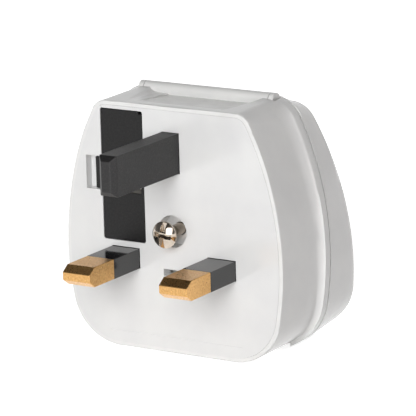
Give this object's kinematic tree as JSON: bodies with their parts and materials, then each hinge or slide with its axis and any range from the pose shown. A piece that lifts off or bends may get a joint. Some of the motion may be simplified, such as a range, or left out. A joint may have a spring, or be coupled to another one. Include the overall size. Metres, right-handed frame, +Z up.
{
  "type": "fused conversion plug",
  "caption": "Fused conversion plug with rectangular pins, a pull-out fuse carrier, a captive clamp screw and a hinged rear lid that closes over a round-pin plug.",
  "frame": {"origin": "on the front face, midway between the centres of the live and neutral pins", "axes": "+X to the right as one faces the pins, +Y from the face back into the body (the pins point along -Y), +Z up towards the earth pin and the hinge"},
  "size_m": [0.0528, 0.0543, 0.0515],
  "materials": {
    "shell_white": "smooth satin moulded plastic",
    "plate_white": "smooth satin moulded plastic",
    "pin_black": "fine matt black plastic",
    "sleeve_black": "glossy black plastic",
    "carrier_black": "matt black plastic",
    "pin_brass": "machined brass with a light tarnish",
    "spring_brass": "stamped sheet brass",
    "fuse_ceramic": "plain ceramic tube",
    "fuse_metal": "nickel plated",
    "base_grey": "plain moulded plastic",
    "screw_nickel": "nickel plated steel",
    "steel": "zinc plated steel"
  },
  "bodies": {
    "body": {"housing": "shell_white", "face_plate": "plate_white", "earth_pin": "pin_black", "live_pin_sleeve": "sleeve_black", "neutral_pin_sleeve": "sleeve_black", "live_pin": "pin_brass", "neutral_pin": "pin_brass", "fuse_clip_top": "spring_brass", "fuse_clip_bottom": "spring_brass", "live_contact": "spring_brass", "neutral_contact": "spring_brass", "contact_base": "base_grey", "contact_cover": "base_grey", "base_screw_left": "steel", "base_screw_right": "steel", "cover_screw": "steel"},
    "lid_body": {"lid": "shell_white", "lid_nut": "steel", "hinge_pin": "steel"},
    "fuse_tray": {"fuse_carrier": "carrier_black", "fuse_barrel": "fuse_ceramic", "fuse_cap_top": "fuse_metal", "fuse_cap_bottom": "fuse_metal"},
    "washer_body": {"screw_washer": "steel"},
    "screw_body": {"clamp_screw": "screw_nickel"}
  },
  "joints": [
    {"name": "lid_hinge", "type": "hinge", "parent": "body", "child": "lid_body", "pos_m": [0, 0.0146, 0.03125], "axis": [1, 0, 0], "range_deg": [0, 110]},
    {"name": "fuse_pull", "type": "slide", "parent": "body", "child": "fuse_tray", "axis": [0, -1, 0], "range_m": [0, 0.0095]},
    {"name": "screw_travel", "type": "slide", "parent": "body", "child": "washer_body", "axis": [0, 1, 0], "range_m": [0, 0.0051]},
    {"name": "screw_turn", "type": "hinge", "parent": "washer_body", "child": "screw_body", "pos_m": [0, 0, 0.0064], "axis": [0, 1, 0], "range_deg": [0, 3680]}
  ],
  "couplings": [
    {"joint": "screw_turn", "follows": "screw_travel", "rad_per_m": 12566}
  ]
}
